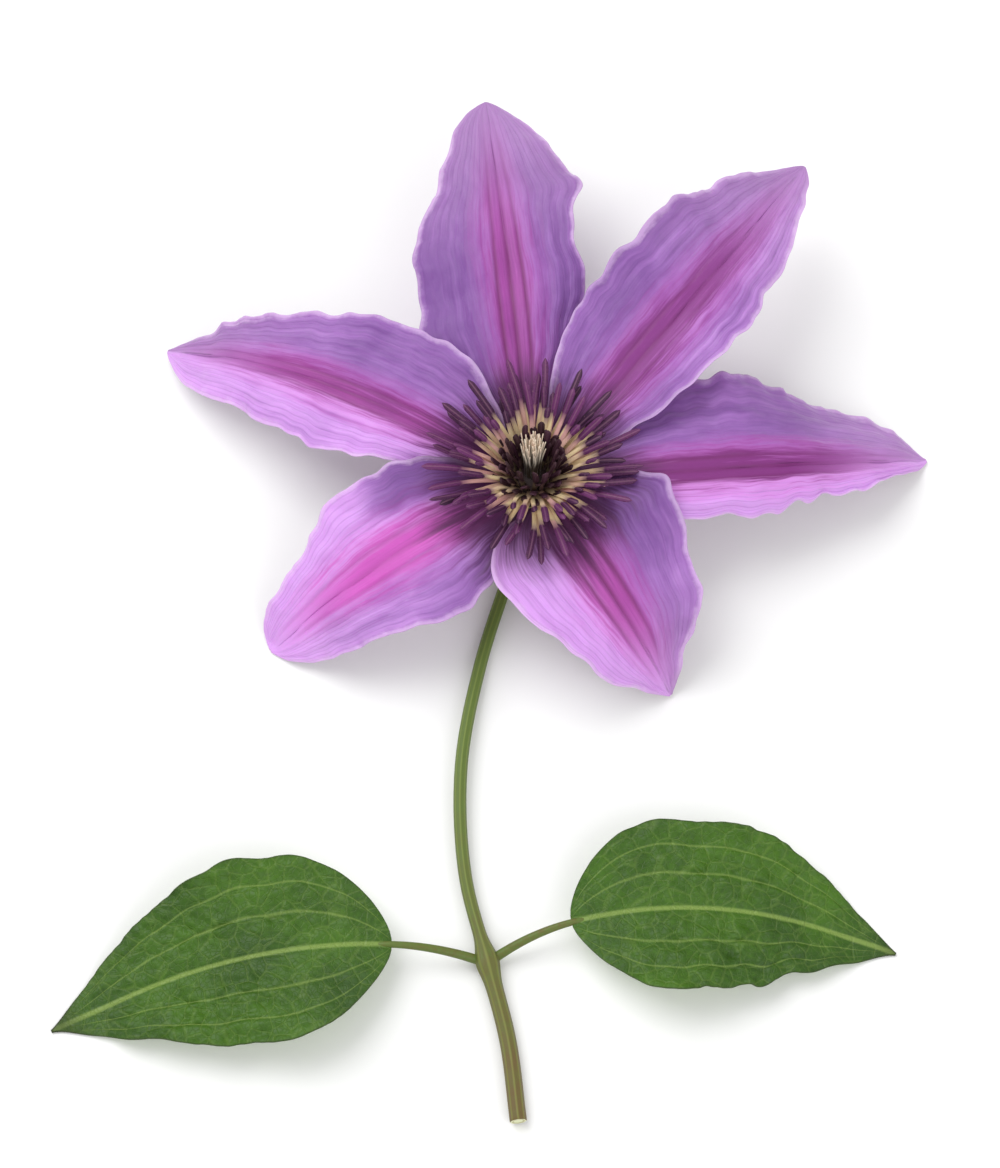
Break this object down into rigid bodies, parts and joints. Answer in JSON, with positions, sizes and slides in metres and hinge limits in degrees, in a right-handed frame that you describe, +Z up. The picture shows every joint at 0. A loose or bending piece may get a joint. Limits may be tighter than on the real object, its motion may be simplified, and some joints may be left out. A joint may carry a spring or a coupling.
{
  "type": "cut clematis flower",
  "caption": "Cut clematis bloom lying on its back: pointed sepals with a central bar, a boss of stamens round a silky pistil, and a bent stalk with opposite leaves down to its cut end.",
  "frame": {"origin": "middle of the flower's footprint, on the surface it lies on", "axes": "+Z up out of the face of the bloom, -Y towards the cut end of the stalk, +X to the right of someone who looks at the bloom from the stalk's end"},
  "size_m": [0.1748, 0.2118, 0.0324],
  "materials": {
    "sepal": "satin violet tissue with fine crinkles, a magenta bar with darker veins and pale wavy margins",
    "stamen": "cream filament that widens into a matte dark maroon anther",
    "pistil": "silky cream styles",
    "stalk": "ribbed satin green, browner towards the cut",
    "leaf": "satin dark green with paler sunken veins, paler and duller below"
  },
  "bodies": {
    "root": {"sepal_1": "sepal", "sepal_2": "sepal", "sepal_3": "sepal", "sepal_4": "sepal", "sepal_5": "sepal", "sepal_6": "sepal", "stamen_01": "stamen", "stamen_02": "stamen", "stamen_03": "stamen", "stamen_04": "stamen", "stamen_05": "stamen", "stamen_06": "stamen", "stamen_07": "stamen", "stamen_08": "stamen", "stamen_09": "stamen", "stamen_10": "stamen", "stamen_11": "stamen", "stamen_12": "stamen", "stamen_13": "stamen", "stamen_14": "stamen", "stamen_15": "stamen", "stamen_16": "stamen", "stamen_17": "stamen", "stamen_18": "stamen", "stamen_19": "stamen", "stamen_20": "stamen", "stamen_21": "stamen", "stamen_22": "stamen", "stamen_23": "stamen", "stamen_24": "stamen", "stamen_25": "stamen", "stamen_26": "stamen", "stamen_27": "stamen", "stamen_28": "stamen", "stamen_29": "stamen", "stamen_30": "stamen", "stamen_31": "stamen", "stamen_32": "stamen", "stamen_33": "stamen", "stamen_34": "stamen", "stamen_35": "stamen", "stamen_36": "stamen", "stamen_37": "stamen", "stamen_38": "stamen", "stamen_39": "stamen", "stamen_40": "stamen", "stamen_41": "stamen", "stamen_42": "stamen", "stamen_43": "stamen", "stamen_44": "stamen", "stamen_45": "stamen", "stamen_46": "stamen", "stamen_47": "stamen", "stamen_48": "stamen", "pistil": "pistil", "stalk": "stalk", "leaf_left": "leaf", "leaf_right": "leaf"}
  },
  "joints": []
}
